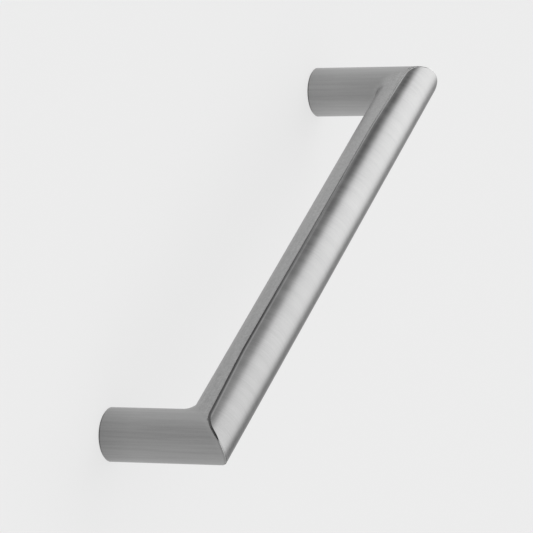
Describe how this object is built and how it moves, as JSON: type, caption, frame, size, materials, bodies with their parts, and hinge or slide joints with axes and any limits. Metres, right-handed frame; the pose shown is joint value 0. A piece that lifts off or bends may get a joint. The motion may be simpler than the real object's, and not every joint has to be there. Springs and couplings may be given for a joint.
{
  "type": "angled cabinet handle",
  "caption": "Round-section cabinet pull with sharp mitred corners and straight legs, fixed from behind by screws into tapped feet; satin metal.",
  "frame": {"origin": "on the mounting plane, midway between the two feet", "axes": "+Z from the mounting plane to the front of the grip, X along the grip, Y across it"},
  "size_m": [0.174, 0.014, 0.035],
  "materials": {
    "satin_metal": "satin, fine brushing along the rod"
  },
  "bodies": {
    "root": {"handle": "satin_metal"}
  },
  "joints": []
}
